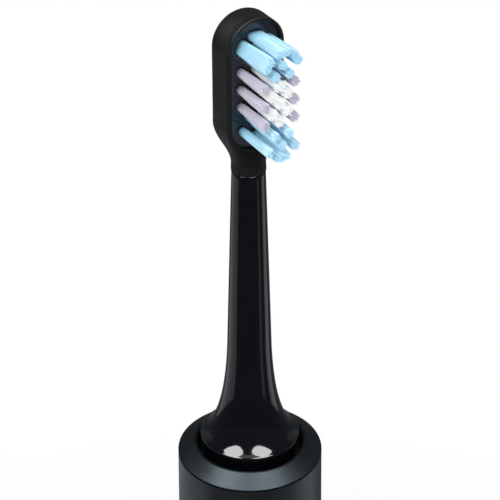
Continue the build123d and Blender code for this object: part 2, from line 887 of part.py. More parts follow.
def strand(spot, across, up, length, step):
    """One bristle, leaning a little outwards, rooted inside its tuft's plug."""
    x, z, half, turn = spot
    start = face_front - tuft_root / 2
    plane = Plane((x + across, -start, head_up(field_z + z + up)), x_dir=(1, 0, 0), z_dir=(0, -1, 0))
    face = plane * Rot(0, 0, strand_turn * step) * RegularPolygon(strand_r, strand_sides)
    lean = Vector(splay * (across + x / short_l), -1, splay * up + field_fan * z)
    return extrude(face, (length + tuft_root / 2) * lean.length, dir=lean)


def make_tuft(spot, length):
    """A bundle of bristles standing on the slice of the plate that it is rooted in."""
    half, turn = spot[2], radians(spot[3])
    spread_r = tuft_r - strand_r - run_gap
    count = round(strands_per_tuft * (1 + half / spread_r))
    bundle = []
    for step in range(count):
        r = sqrt((step + 0.5) / count)
        angle = step * golden_angle
        along = r * cos(angle) * (spread_r + half)
        aside = r * sin(angle) * spread_r
        across = along * cos(turn) - aside * sin(turn)
        up = along * sin(turn) + aside * cos(turn)
        bundle.append(strand(spot, across, up, length, step))
    return tuft_plug(spot, tuft_r) + bundle


os.makedirs("parts", exist_ok=True)

save("charger_pad", disc(pad_r, 0, pad_h))
save("charger_base", make_charger_base())
save("charger_housing", make_charger_housing())
save("charger_screws", *make_charger_screws())
save("charger_board", make_charger_board())
save("charger_bobbin", make_charger_bobbin())
save("charger_coil", make_charger_coil())
save("charger_ferrite", disc(ferrite_r, base_top, post_top - post_wall - fit_gap))
save("charging_inlet", make_charging_inlet())

save("handle_shell", make_handle_shell())
save("bottom_cap", make_bottom_cap())
save("bottom_seal", make_seal(bottom_seal_z))
save("charge_coil", make_charge_coil())
save("inner_frame", make_inner_frame())
save("battery", make_battery())
save("battery_tabs", *make_battery_tabs())
save("main_board", make_main_board())
save("controller_chip", make_controller_chip())
save("tact_switch", make_tact_switch())
save("switch_plunger", make_switch_plunger())
save("power_button", make_power_button())
save("button_seal", make_button_seal())
save("status_lamps", *make_status_lamps())
save("status_lens", make_status_lens())

save("top_collar", make_top_collar())
save("top_seal", make_seal(top_seal_z))
save("shaft_boot", make_shaft_boot())
save("motor_case", make_motor_case())
save("motor_front_plate", make_motor_plate(motor_top - motor_plate_h))
save("motor_rear_plate", make_motor_plate(motor_z))
save("front_bearing", make_bearing(motor_top - motor_plate_h))
save("rear_bearing", make_bearing(motor_z))
save("stator_core", make_stator_core())
save("stator_windings", *make_stator_windings())
save("rotor_hub", make_rotor_hub())
save("rotor_magnets", *make_rotor_magnets())
save("drive_shaft", make_drive_shaft())

save("head_stem", make_head_stem())
save("head_insert", make_head_insert())
save("head_clip", make_head_clip())
save("head_cover", make_head_cover())
save("tuft_plate", make_tuft_plate())
save("lavender_tufts", *[make_tuft(spot, short_l) for spot in lavender_spots])
save("white_tufts", *[make_tuft(spot, short_l) for spot in white_spots])
save("blue_tufts", *[make_tuft(spot, long_l) for spot in blue_spots])
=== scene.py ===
import json
import math
import random

import bpy
from mathutils import Matrix, Quaternion, Vector
from mathutils.geometry import interpolate_bezier


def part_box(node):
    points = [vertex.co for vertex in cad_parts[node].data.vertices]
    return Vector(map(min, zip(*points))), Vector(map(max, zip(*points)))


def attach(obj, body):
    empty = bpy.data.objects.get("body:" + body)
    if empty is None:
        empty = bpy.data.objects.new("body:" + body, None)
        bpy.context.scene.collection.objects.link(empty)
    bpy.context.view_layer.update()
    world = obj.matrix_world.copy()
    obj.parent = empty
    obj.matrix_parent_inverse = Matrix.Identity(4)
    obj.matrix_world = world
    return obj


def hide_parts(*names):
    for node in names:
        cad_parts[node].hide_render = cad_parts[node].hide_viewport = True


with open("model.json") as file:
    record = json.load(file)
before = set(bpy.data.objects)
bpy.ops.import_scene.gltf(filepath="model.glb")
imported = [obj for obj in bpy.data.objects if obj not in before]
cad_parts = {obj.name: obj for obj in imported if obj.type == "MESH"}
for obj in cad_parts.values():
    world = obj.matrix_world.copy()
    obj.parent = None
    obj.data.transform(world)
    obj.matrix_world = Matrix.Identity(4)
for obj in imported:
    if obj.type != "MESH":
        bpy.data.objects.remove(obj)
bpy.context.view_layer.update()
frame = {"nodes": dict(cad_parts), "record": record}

MM = 0.001
slot_of = {part["node"]: part["material_slot"] for part in frame["record"]["subparts"]}


# Object helpers

def new_object(name, verts, faces):
    """A mesh object in the scene."""
    mesh = bpy.data.meshes.new(name)
    mesh.from_pydata(verts, [], faces)
    obj = bpy.data.objects.new(name, mesh)
    bpy.context.scene.collection.objects.link(obj)
    return obj


def smooth(obj):
    """Smooth shading on every face."""
    polygons = obj.data.polygons
    polygons.foreach_set("use_smooth", [True] * len(polygons))
    obj.data.update()


# Node helpers; a Mix node's colour sockets go by number, because its other kinds have the same names

MIX_FIRST = 6
MIX_SECOND = 7
MIX_COLOUR = 2


def new_material(name):
    """A node material with one Principled shader: the material, its nodes, its links and the shader."""
    mat = bpy.data.materials.new(name)
    mat.use_nodes = True
    tree = mat.node_tree
    tree.nodes.clear()
    out = tree.nodes.new("ShaderNodeOutputMaterial")
    shader = tree.nodes.new("ShaderNodeBsdfPrincipled")
    tree.links.new(shader.outputs["BSDF"], out.inputs["Surface"])
    return mat, tree.nodes, tree.links, shader


def position(nodes):
    """Coordinates in metres in the part's own frame, which ride with the piece."""
    return nodes.new("ShaderNodeTexCoord").outputs["Object"]


def noise(nodes, links, vector, size, detail=3.0, roughness=0.55):
    """Noise whose features are about size metres across."""
    tex = nodes.new("ShaderNodeTexNoise")
    tex.inputs["Scale"].default_value = 1.0 / size
    tex.inputs["Detail"].default_value = detail
    tex.inputs["Roughness"].default_value = roughness
    links.new(vector, tex.inputs["Vector"])
    return tex.outputs["Fac"]


def span(nodes, links, value, low, high, from_low=0.3, from_high=0.7):
    """Maps a value, from the range that noise mostly covers or another one, to the range from low to high."""
    ramp = nodes.new("ShaderNodeMapRange")
    ramp.inputs["From Min"].default_value = from_low
    ramp.inputs["From Max"].default_value = from_high
    ramp.inputs["To Min"].default_value = low
    ramp.inputs["To Max"].default_value = high
    links.new(value, ramp.inputs["Value"])
    return ramp.outputs["Result"]


def blend_colours(nodes, links, factor, first, second):
    """Mixes two colours; each is a tuple or a socket."""
    mix = nodes.new("ShaderNodeMix")
    mix.data_type = "RGBA"
    links.new(factor, mix.inputs["Factor"])
    for socket, colour in ((mix.inputs[MIX_FIRST], first), (mix.inputs[MIX_SECOND], second)):
        if isinstance(colour, tuple):
            socket.default_value = (*colour, 1.0)
        else:
            links.new(colour, socket)
    return mix.outputs[MIX_COLOUR]


def bump(nodes, links, height, distance):
    """A bump of a height map, distance in metres."""
    node = nodes.new("ShaderNodeBump")
    node.inputs["Strength"].default_value = 1.0
    node.inputs["Distance"].default_value = distance
    links.new(height, node.inputs["Height"])
    return node.outputs["Normal"]


def math_node(nodes, links, operation, *values):
    """A sum or the like of numbers and sockets."""
    node = nodes.new("ShaderNodeMath")
    node.operation = operation
    for socket, value in zip(node.inputs, values):
        if isinstance(value, (int, float)):
            socket.default_value = value
        else:
            links.new(value, socket)
    return node.outputs["Value"]


def shade(colour, factor):
    """A darker or a lighter colour."""
    return tuple(min(1.0, channel * factor) for channel in colour)


def cloudy_tone(nodes, links, clouds, colour, spread):
    """A colour that gets a little darker and lighter with the clouds."""
    factor = span(nodes, links, clouds, 0.0, 1.0)
    return blend_colours(nodes, links, factor, shade(colour, 1 - spread), shade(colour, 1 + spread))


# Moulded surfaces and turned metal; lengths in all materials are in metres

COAT_ROUGH = 0.05
RING_TURNS = 2.0
METAL_CLOUD = 0.006
METAL_SPREAD = 0.06
METAL_ROUGH_SPREAD = 0.03
LINE_ROUGH_SPREAD = 0.04


def surface(name, colour, rough, spec=0.5, cloud=0.004, spread=0.12, rough_spread=0.05, grain=0.0002,
            grain_depth=0.0, coat=0.0):
    """A moulded or coated surface: cloudy colour and roughness, and a fine grain in its normals."""
    mat, nodes, links, shader = new_material(name)
    where = position(nodes)
    clouds = noise(nodes, links, where, cloud, detail=4.0)
    fine = noise(nodes, links, where, grain, detail=2.0)
    links.new(cloudy_tone(nodes, links, clouds, colour, spread), shader.inputs["Base Color"])
    cloudy = span(nodes, links, clouds, rough - rough_spread, rough + rough_spread)
    grainy = span(nodes, links, fine, -rough_spread / 2, rough_spread / 2)
    links.new(math_node(nodes, links, "ADD", cloudy, grainy), shader.inputs["Roughness"])
    shader.inputs["Specular IOR Level"].default_value = spec
    shader.inputs["Coat Weight"].default_value = coat
    shader.inputs["Coat Roughness"].default_value = COAT_ROUGH
    if grain_depth:
        links.new(bump(nodes, links, fine, grain_depth), shader.inputs["Normal"])
    return mat


def round_about(nodes, links, where, pitch):
    """Coordinates that run slowly round the long axis and quickly along and out from it, for turned metal."""
    parts = nodes.new("ShaderNodeSeparateXYZ")
    links.new(where, parts.inputs["Vector"])
    x, y, z = parts.outputs
    squares = [math_node(nodes, links, "MULTIPLY", value, value) for value in (x, y)]
    radius = math_node(nodes, links, "SQRT", math_node(nodes, links, "ADD", *squares))
    out = nodes.new("ShaderNodeCombineXYZ")
    for axis, value in (("X", x), ("Y", y)):
        share = math_node(nodes, links, "DIVIDE", value, radius)
        links.new(math_node(nodes, links, "MULTIPLY", share, RING_TURNS), out.inputs[axis])
    along = math_node(nodes, links, "DIVIDE", math_node(nodes, links, "ADD", radius, z), pitch)
    links.new(along, out.inputs["Z"])
    return out.outputs["Vector"]


def turned_metal(name, colour, rough, line_depth=0.000002, pitch=0.00008):
    """Satin anodised or bare metal with the faint rings that turning leaves."""
    mat, nodes, links, shader = new_material(name)
    where = position(nodes)
    turning = round_about(nodes, links, where, pitch)
    lines = noise(nodes, links, turning, 1.0, detail=2.0, roughness=0.5)
    clouds = noise(nodes, links, where, METAL_CLOUD)
    links.new(cloudy_tone(nodes, links, clouds, colour, METAL_SPREAD), shader.inputs["Base Color"])
    cloudy = span(nodes, links, clouds, rough - METAL_ROUGH_SPREAD, rough + METAL_ROUGH_SPREAD)
    lined = span(nodes, links, lines, -LINE_ROUGH_SPREAD, LINE_ROUGH_SPREAD)
    links.new(math_node(nodes, links, "ADD", cloudy, lined), shader.inputs["Roughness"])
    shader.inputs["Metallic"].default_value = 1.0
    links.new(bump(nodes, links, lines, line_depth), shader.inputs["Normal"])
    return mat


# Wound wire; a wave texture of scale 1 repeats after the first length

WAVE_PERIOD = 0.31416
WIRE_WANDER = 0.4
WIRE_GROOVE_SHADE = 0.45
WIRE_CREST_LIGHT = 1.1
WIRE_METAL = 0.9
WIRE_DEPTH = 0.4
WIRE_ROUGH = (0.28, 0.42)
SMUDGE = 0.001


def wound_wire(name, colour, wire):
    """Enamelled wire in close turns: rounded bands along the long axis, with painted shade in the grooves
    between turns and painted light on their crests.
    """
    mat, nodes, links, shader = new_material(name)
    where = position(nodes)
    bands = nodes.new("ShaderNodeTexWave")
    bands.wave_type = "BANDS"
    bands.bands_direction = "Z"
    bands.inputs["Scale"].default_value = WAVE_PERIOD / wire
    bands.inputs["Distortion"].default_value = WIRE_WANDER
    links.new(where, bands.inputs["Vector"])
    turns = bands.outputs["Fac"]
    # Painted shade and light: the wire's colour is darker in the grooves between turns and lighter on their
    # crests
    tone = blend_colours(nodes, links, turns, shade(colour, WIRE_GROOVE_SHADE), shade(colour, WIRE_CREST_LIGHT))
    links.new(tone, shader.inputs["Base Color"])
    shader.inputs["Metallic"].default_value = WIRE_METAL
    worn = span(nodes, links, noise(nodes, links, where, SMUDGE), *WIRE_ROUGH)
    links.new(worn, shader.inputs["Roughness"])
    links.new(bump(nodes, links, turns, wire * WIRE_DEPTH), shader.inputs["Normal"])
    return mat


# Circuit board

LANE_SCALE = 220.0
LANE_GAP = 0.06
LANE_GREYS = (0.35, 0.75)
LANE_SHADE = 0.55
PAD_SIZE = 0.0022
PAD_EDGE = (0.70, 0.72)
BOARD_ROUGH = (0.32, 0.4)


def circuit_board(name, mask, copper):
    """Solder mask with darker lanes over the copper and a few bare pads."""
    mat, nodes, links, shader = new_material(name)
    where = position(nodes)
    lanes = nodes.new("ShaderNodeTexBrick")
    lanes.inputs["Scale"].default_value = LANE_SCALE
    lanes.inputs["Mortar Size"].default_value = LANE_GAP
    for socket, grey in zip(("Color1", "Color2"), LANE_GREYS):
        lanes.inputs[socket].default_value = (grey, grey, grey, 1)
    lanes.inputs["Mortar"].default_value = (0, 0, 0, 1)
    upright = nodes.new("ShaderNodeMapping")
    upright.inputs["Rotation"].default_value = (math.radians(90), 0, 0)
    links.new(where, upright.inputs["Vector"])
    links.new(upright.outputs["Vector"], lanes.inputs["Vector"])
    laned = blend_colours(nodes, links, lanes.outputs["Color"], shade(mask, LANE_SHADE), mask)
    pads = span(nodes, links, noise(nodes, links, where, PAD_SIZE, detail=0.0), 0.0, 1.0, *PAD_EDGE)
    links.new(blend_colours(nodes, links, pads, laned, copper), shader.inputs["Base Color"])
    links.new(pads, shader.inputs["Metallic"])
    links.new(span(nodes, links, lanes.outputs["Fac"], *BOARD_ROUGH, 0, 1), shader.inputs["Roughness"])
    return mat


# Battery

SLEEVE_CLOUD = 0.003
SLEEVE_SPREAD = 0.15
SLEEVE_ROUGH = (0.3, 0.45)
CAN_STEEL = (0.6, 0.6, 0.62)


def battery_wrap(name, colour, low, high):
    """A plain shrink sleeve between two heights, with bare steel above and below it."""
    mat, nodes, links, shader = new_material(name)
    where = position(nodes)
    parts = nodes.new("ShaderNodeSeparateXYZ")
    links.new(where, parts.inputs["Vector"])
    above = math_node(nodes, links, "GREATER_THAN", parts.outputs["Z"], high)
    below = math_node(nodes, links, "LESS_THAN", parts.outputs["Z"], low)
    bare = math_node(nodes, links, "ADD", above, below)
    clouds = noise(nodes, links, where, SLEEVE_CLOUD)
    dark, pale = shade(colour, 1 - SLEEVE_SPREAD), shade(colour, 1 + SLEEVE_SPREAD)
    sleeve = blend_colours(nodes, links, clouds, dark, pale)
    links.new(blend_colours(nodes, links, bare, sleeve, CAN_STEEL), shader.inputs["Base Color"])
    links.new(bare, shader.inputs["Metallic"])
    worn = span(nodes, links, noise(nodes, links, where, SMUDGE), *SLEEVE_ROUGH)
    links.new(worn, shader.inputs["Roughness"])
    return mat


# Bristle material

TIP_LIGHT_SPAN = (0.1, 0.95)
STRAND_TONE = 0.15
STRAND_SHADE = 0.72
STRAND_ROUGH = (0.32, 0.48)
STRAND_SPEC = 0.45


def filament(name, root, tip):
    """Nylon bristles: a little paler at their tips, which paints light on the tips and shade towards the
    roots, each strand slightly its own tone.
    """
    mat, nodes, links, shader = new_material(name)
    along = nodes.new("ShaderNodeAttribute")
    along.attribute_name = "along"
    strand = nodes.new("ShaderNodeAttribute")
    strand.attribute_name = "strand"
    # Painted light and shade: along each strand the colour goes from the deeper root colour to the paler tip
    # colour
    tip_light_rise = span(nodes, links, along.outputs["Fac"], 0.0, 1.0, *TIP_LIGHT_SPAN)
    body = blend_colours(nodes, links, tip_light_rise, root, tip)
    own = span(nodes, links, strand.outputs["Fac"], 0.0, STRAND_TONE, 0, 1)
    tone = blend_colours(nodes, links, own, body, shade(root, STRAND_SHADE))
    links.new(tone, shader.inputs["Base Color"])
    worn = span(nodes, links, strand.outputs["Fac"], *STRAND_ROUGH, 0, 1)
    links.new(worn, shader.inputs["Roughness"])
    shader.inputs["Specular IOR Level"].default_value = STRAND_SPEC
    return mat


# Finishes, by the record's material slot

MOULDED = {
    "pad_rubber": dict(colour=(0.03, 0.031, 0.033), rough=0.8, spec=0.3, grain=0.0003, grain_depth=0.00003),
    "charger_plastic": dict(colour=(0.022, 0.024, 0.027), rough=0.46, spec=0.4, grain_depth=0.000008),
    "ferrite": dict(colour=(0.05, 0.05, 0.053), rough=0.7, spec=0.3, grain=0.00012, grain_depth=0.00001),
    "cap_plastic": dict(colour=(0.03, 0.032, 0.035), rough=0.45, spec=0.4, grain_depth=0.000006),
    "frame_plastic": dict(colour=(0.6, 0.6, 0.58), rough=0.5, grain_depth=0.000005),
    "seal_rubber": dict(colour=(0.03, 0.03, 0.033), rough=0.7, spec=0.3, grain_depth=0.00001),
    "chip": dict(colour=(0.018, 0.018, 0.02), rough=0.55, grain=0.00006, grain_depth=0.000004),
    "lamp": dict(colour=(0.8, 0.78, 0.62), rough=0.25, cloud=0.0008),
    "lens": dict(colour=(0.02, 0.022, 0.026), rough=0.12, coat=0.6),
    "button_plastic": dict(colour=(0.04, 0.043, 0.048), rough=0.42, grain_depth=0.000005),
    "stem_gloss": dict(colour=(0.0016, 0.0018, 0.0029), rough=0.08, spec=0.34, cloud=0.006, spread=0.1,
                       rough_spread=0.02, grain=0.0012, grain_depth=0.0000012),
    "cover_rubber": dict(colour=(0.0042, 0.0042, 0.0046), rough=0.5, spec=0.2, cloud=0.003, spread=0.08,
                         grain=0.00018, grain_depth=0.00002),
    "plate_gloss": dict(colour=(0.006, 0.0105, 0.018), rough=0.2, spread=0.15, grain_depth=0.000002),
    "insert_plastic": dict(colour=(0.03, 0.03, 0.032), rough=0.5, grain_depth=0.000005),
}
TURNED = {
    "steel": dict(colour=(0.52, 0.53, 0.55), rough=0.28),
    "shell_metal": dict(colour=(0.066, 0.071, 0.076), rough=0.36, line_depth=0.0000006, pitch=0.00012),
    "collar_metal": dict(colour=(0.0195, 0.0242, 0.027), rough=0.42),
}
BARE_FOOT = 0.0005
BARE_HEAD = 0.0016
battery_foot, battery_head = (corner[2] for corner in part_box("battery"))

finishes = {name: surface(name, **look) for name, look in MOULDED.items()}
finishes.update((name, turned_metal(name, **look)) for name, look in TURNED.items())
finishes["board"] = circuit_board("board", mask=(0.03, 0.2, 0.09), copper=(0.75, 0.6, 0.25))
finishes["copper"] = wound_wire("copper", colour=(0.72, 0.33, 0.16), wire=0.00028)
finishes["battery_can"] = battery_wrap("battery_can", colour=(0.03, 0.22, 0.14), low=battery_foot + BARE_FOOT,
                                       high=battery_head - BARE_HEAD)

for node, obj in frame["nodes"].items():
    finish = finishes.get(slot_of[node])
    if finish:
        obj.data.materials.clear()
        obj.data.materials.append(finish)


# Bristles: sizes in millimetres, with finer strands than in the solids, a little longer and lower

plate_low, plate_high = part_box("tuft_plate")
FIELD_DROP = 0.215
FIELD_Z = (plate_low[2] + plate_high[2]) / 2 / MM - FIELD_DROP
FACE_Y = plate_low[1] / MM
ROOT_IN = 0.9
TUFT_R = 0.88
STRAND_R = 0.076
STRAND_PITCH = 2.04 * STRAND_R
HEX_ROW = 0.866
SHORT = 8.8
LONG = 9.7
LEAN_FAN = 0.004
CROWN = 0.05
LENGTH_SPREAD = 0.14
SPLAY_LEAST = 0.75
SPLAY_SPREAD = 0.5
TIP_SPREAD = 0.045
SAG_SPREAD = 0.05
RINGS = (0.0, 0.4, 0.75, 0.985)
END_R = 0.92 * STRAND_R
END_SHARE = 0.9
STRAND_SIDES = 5

# Tufts: each has its place across and up, half the length of its slot, and the slot's turn in degrees

ROW = 3.55
LAVENDER_X = 3.2
WHITE_X = 1.6
PAIR_X = 1.5
PAIR_Z = 5.9
MIDDLE_Z = 7.9
END_Z = 10.3
END_HALF = 0.72
LOW_X = 2.85
LOW_Z = -8.75
HIGH_X = 3.05
HIGH_Z = 8.6
HIGH_HALF = 0.6
HIGH_TURN = 62
BOTH = (-1, 1)
ROWS = (-1, 0, 1)
lavender = [(side * LAVENDER_X, row * ROW, 0, 0) for side in BOTH for row in ROWS]
white = [(0, row * ROW, 0, 0) for row in ROWS]
white += [(side * WHITE_X, end * ROW / 2, 0, 0) for side in BOTH for end in BOTH]
blue = [(side * PAIR_X, end * PAIR_Z, 0, 0) for side in BOTH for end in BOTH]
blue += [(0, end * MIDDLE_Z, 0, 0) for end in BOTH]
blue += [(0, end * END_Z, END_HALF, 0) for end in BOTH]
blue += [(side * LOW_X, LOW_Z, 0, 0) for side in BOTH]
blue += [(side * HIGH_X, HIGH_Z, HIGH_HALF, -side * HIGH_TURN) for side in BOTH]


def packed(half, r, pitch):
    """Places in a round-ended slot of that half length, on a close hexagonal grid."""
    places = []
    rows = int(r / (pitch * HEX_ROW)) + 1
    count = int((half + r) / pitch) + 2
    for row in range(-rows, rows + 1):
        v = row * pitch * HEX_ROW
        for step in range(-count, count + 1):
            u = (step + 0.5 * (row % 2)) * pitch
            if math.hypot(max(abs(u) - half, 0.0), v) <= r:
                places.append((u, v))
    return places


def strand_course(rng, x, z, across, up, length, splay):
    """One bristle's root and tip, and how far it bends to one side, by its place in the tuft at x and z."""
    root = Vector((x + across, FACE_Y + ROOT_IN, FIELD_Z + z + up))
    reach = length + rng.gauss(0, LENGTH_SPREAD) - CROWN * (across * across + up * up)
    out = splay * (SPLAY_LEAST + SPLAY_SPREAD * rng.random())
    tip = Vector((
        x + across * (1 + out) + rng.gauss(0, TIP_SPREAD),
        FACE_Y - reach,
        FIELD_Z + z + up * (1 + out) + LEAN_FAN * z * reach + rng.gauss(0, TIP_SPREAD),
    ))
    sag = Vector((rng.gauss(0, SAG_SPREAD), 0, rng.gauss(0, SAG_SPREAD)))
    return root, tip, sag


def strand_rod(root, tip, sag):
    """Corners and faces of one bristle: a ring of corners at each share of its length, and a blunt end."""
    points = [root.lerp(tip, share) + sag * share * share for share in RINGS]
    corners = []
    for point in points:
        r = END_R if point is points[-1] else STRAND_R
        for side in range(STRAND_SIDES):
            angle = 2 * math.pi * side / STRAND_SIDES
            corners.append((point.x + r * math.cos(angle), point.y, point.z + r * math.sin(angle)))
    corners.append(tuple(points[-1].lerp(tip + sag, END_SHARE)))
    faces = [tuple(reversed(range(STRAND_SIDES)))]
    top = (len(RINGS) - 1) * STRAND_SIDES
    for side in range(STRAND_SIDES):
        after = (side + 1) % STRAND_SIDES
        for low in range(0, top, STRAND_SIDES):
            high = low + STRAND_SIDES
            faces.append((low + side, low + after, high + after, high + side))
        faces.append((top + side, top + after, len(corners) - 1))
    return corners, faces


def bristle_mesh(name, tufts, length, splay, seed):
    """The bristles of some tufts in one mesh, with their tone and share of length as attributes."""
    rng = random.Random(seed)
    shares = [share for share in RINGS for side in range(STRAND_SIDES)] + [1.0]
    verts, faces, along, tone = [], [], [], []
    for x, z, half, turn in tufts:
        c, s = math.cos(math.radians(turn)), math.sin(math.radians(turn))
        for u, v in packed(half, TUFT_R - STRAND_R, STRAND_PITCH):
            across, up = u * c - v * s, u * s + v * c
            course = strand_course(rng, x, z, across, up, length, splay)
            own = rng.random()
            corners, sides = strand_rod(*course)
            first = len(verts)
            verts += [(cx * MM, cy * MM, cz * MM) for cx, cy, cz in corners]
            faces += [tuple(first + corner for corner in face) for face in sides]
            along += shares
            tone += [own] * len(corners)
    obj = new_object(name, verts, faces)
    for key, values in (("along", along), ("strand", tone)):
        layer = obj.data.attributes.new(key, "FLOAT", "POINT")
        layer.data.foreach_set("value", values)
    smooth(obj)
    return obj


BRISTLES = {
    "blue_tufts": dict(tufts=blue, length=LONG, splay=0.14, seed=11),
    "lavender_tufts": dict(tufts=lavender, length=SHORT, splay=0.24, seed=12),
    "white_tufts": dict(tufts=white, length=SHORT, splay=0.48, seed=13),
}
# Root colours deeper than tip colours: painted shade towards the roots and painted light at the tips
strand_finish = {
    "blue_tufts": filament("bristle_blue", root=(0.4, 0.75, 0.94), tip=(0.56, 0.82, 0.95)),
    "lavender_tufts": filament("bristle_lavender", root=(0.61, 0.59, 0.69), tip=(0.64, 0.62, 0.72)),
    "white_tufts": filament("bristle_white", root=(0.94, 0.965, 0.965), tip=(0.96, 0.975, 0.975)),
}
for node, bristles in BRISTLES.items():
    piece = bristle_mesh(node.replace("tufts", "bristles"), **bristles)
    piece.data.materials.append(strand_finish[node])
    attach(piece, "head")
    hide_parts(node)


# Stem: turned from one outline, in millimetres from its foot, with a thin lip that overhangs the skirt

BORE_R = 3.65
BORE_UP = 18.55
HOLLOW_R = 8.77
HOLLOW_UP = 2.9
SKIRT_R = 9.3
LIP_ROUND = 0.45
BELL_R = 9.75
BELL_UP = 4.5
BELL_ANGLE = 60.0
BELL_PULL = 5.0
FLARE_R = 4.37
FLARE_UP = 25.9
FLARE_PULL = 6.0
NECK_R = 3.27
NECK_UP = 65.1
NECK_ROUND = 0.3
LIP_STEPS = 16
FLARE_STEPS = 48
CONE_RINGS = (0.02, 0.25, 0.5, 0.75, 0.98)
NECK_STEPS = 6
TURN_STEPS = 160
SHARP_ANGLE = 35.0


def arc(centre, r, start, end, steps):
    """Points of an arc in radius and height, in degrees from outwards."""
    angles = [math.radians(start + (end - start) * step / steps) for step in range(steps + 1)]
    return [centre + r * Vector((math.cos(angle), math.sin(angle))) for angle in angles]


def stem_outline():
    """Radius and height from the socket's roof, round the foot and up to the neck."""
    slope = math.radians(BELL_ANGLE)
    edge = Vector((BELL_R, BELL_UP))
    lip = edge - LIP_ROUND * Vector((math.cos(slope), math.sin(slope)))
    outwards = Vector((math.sin(slope), -math.cos(slope)))
    start = Vector((FLARE_R, FLARE_UP))
    taper = (start - Vector((NECK_R, NECK_UP))).normalized()
    upper_pull = start + taper * FLARE_PULL
    lower_pull = edge - outwards * BELL_PULL
    flare = interpolate_bezier(start, upper_pull, lower_pull, edge, FLARE_STEPS)
    shoulder = Vector((NECK_R - NECK_ROUND, NECK_UP - NECK_ROUND))
    neck = shoulder + Vector((NECK_ROUND, 0))
    cone = [start.lerp(neck, share) for share in CONE_RINGS]
    inside = [(0, BORE_UP), (BORE_R, BORE_UP), (BORE_R, HOLLOW_UP), (HOLLOW_R, HOLLOW_UP), (HOLLOW_R, 0),
              (SKIRT_R, 0), (SKIRT_R, lip.y - LIP_ROUND)]
    outside = arc(lip, LIP_ROUND, -90, BELL_ANGLE, LIP_STEPS)
    outside += flare[-2::-1] + cone + arc(shoulder, NECK_ROUND, 0, 90, NECK_STEPS)
    return inside + [tuple(point) for point in outside] + [(0, NECK_UP)]


def turned_mesh(name, outline, base, steps):
    """A closed mesh turned about the long axis from an outline that starts and ends on it."""
    rings = outline[1:-1]
    verts = [(0, 0, base + outline[0][1] * MM)]
    for r, up in rings:
        for step in range(steps):
            angle = 2 * math.pi * step / steps
            verts.append((r * MM * math.cos(angle), r * MM * math.sin(angle), base + up * MM))
    verts.append((0, 0, base + outline[-1][1] * MM))
    faces = []
    top = 1 + (len(rings) - 1) * steps
    for step in range(steps):
        after = (step + 1) % steps
        faces.append((0, 1 + after, 1 + step))
        for low in range(1, top, steps):
            high = low + steps
            faces.append((low + step, low + after, high + after, high + step))
        faces.append((top + step, top + after, len(verts) - 1))
    obj = new_object(name, verts, faces)
    smooth(obj)
    obj.data.set_sharp_from_angle(angle=math.radians(SHARP_ANGLE))
    return obj


stem = turned_mesh("turned_stem", stem_outline(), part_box("head_stem")[0][2], TURN_STEPS)
stem.data.materials.append(finishes[slot_of["head_stem"]])
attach(stem, "head")
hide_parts("head_stem")


# Floor: pale near the object, and plain white to the camera and in reflections farther out

FLOOR_HALF = 6.0
FLOOR_Z = -0.0002
FLOOR_GREY = 0.86
FADE_FROM = 0.1
FADE_TO = 0.24


def light_path(nodes, links, *names):
    """One where the ray is of any of those kinds."""
    path = nodes.new("ShaderNodeLightPath")
    total = path.outputs[names[0]]
    for name in names[1:]:
        total = math_node(nodes, links, "MAXIMUM", total, path.outputs[name])
    return total


def mix_shaders(nodes, links, factor, first, second):
    """Goes from the first shader to the second as the factor goes from 0 to 1."""
    mix = nodes.new("ShaderNodeMixShader")
    for socket, value in zip(mix.inputs, (factor, first, second)):
        links.new(value, socket)
    return mix.outputs["Shader"]


def floor_material(name):
    """Pale paint that, to the camera, in reflections and through glass, fades to plain white farther out."""
    mat = bpy.data.materials.new(name)
    mat.use_nodes = True
    nodes, links = mat.node_tree.nodes, mat.node_tree.links
    nodes.clear()
    paint = nodes.new("ShaderNodeBsdfDiffuse")
    paint.inputs["Color"].default_value = (FLOOR_GREY, FLOOR_GREY, FLOOR_GREY, 1)
    plain = nodes.new("ShaderNodeEmission")
    plain.inputs["Strength"].default_value = 1.0
    away = nodes.new("ShaderNodeVectorMath")
    away.operation = "LENGTH"
    links.new(nodes.new("ShaderNodeNewGeometry").outputs["Position"], away.inputs[0])
    fade = span(nodes, links, away.outputs["Value"], 0.0, 1.0, FADE_FROM, FADE_TO)
    seen = light_path(nodes, links, "Is Camera Ray", "Is Glossy Ray", "Is Transmission Ray")
    factor = math_node(nodes, links, "MULTIPLY", fade, seen)
    mixed = mix_shaders(nodes, links, factor, paint.outputs["BSDF"], plain.outputs["Emission"])
    links.new(mixed, nodes.new("ShaderNodeOutputMaterial").inputs["Surface"])
    return mat


square = ((-1, -1), (1, -1), (1, 1), (-1, 1))
floor_corners = [(x * FLOOR_HALF, y * FLOOR_HALF, FLOOR_Z) for x, y in square]
floor = new_object("floor", floor_corners, [(0, 1, 2, 3)])
floor.data.materials.append(floor_material("floor_white"))


# Cards: flat sectors on the floor that only reflections see, a dark one and paler ones a little above it;
# they glow though they are no lamps, and paint a dark reflection and pale reflected strips onto the glossy
# surfaces

FLAG_STEPS = 48
FLAG_PAINT = (0.02, 0.02, 0.022, 1)
REFLECTION_GLOW_TINT = (0.9, 0.95, 1.0, 1)
FLAG_NEAR = 0.06
MID_NEAR = 0.28
MID_FAR = 0.5
FLAG_FAR = 9.0
FLAG_UP = 0.0005
FLAG_STEP = 0.0002


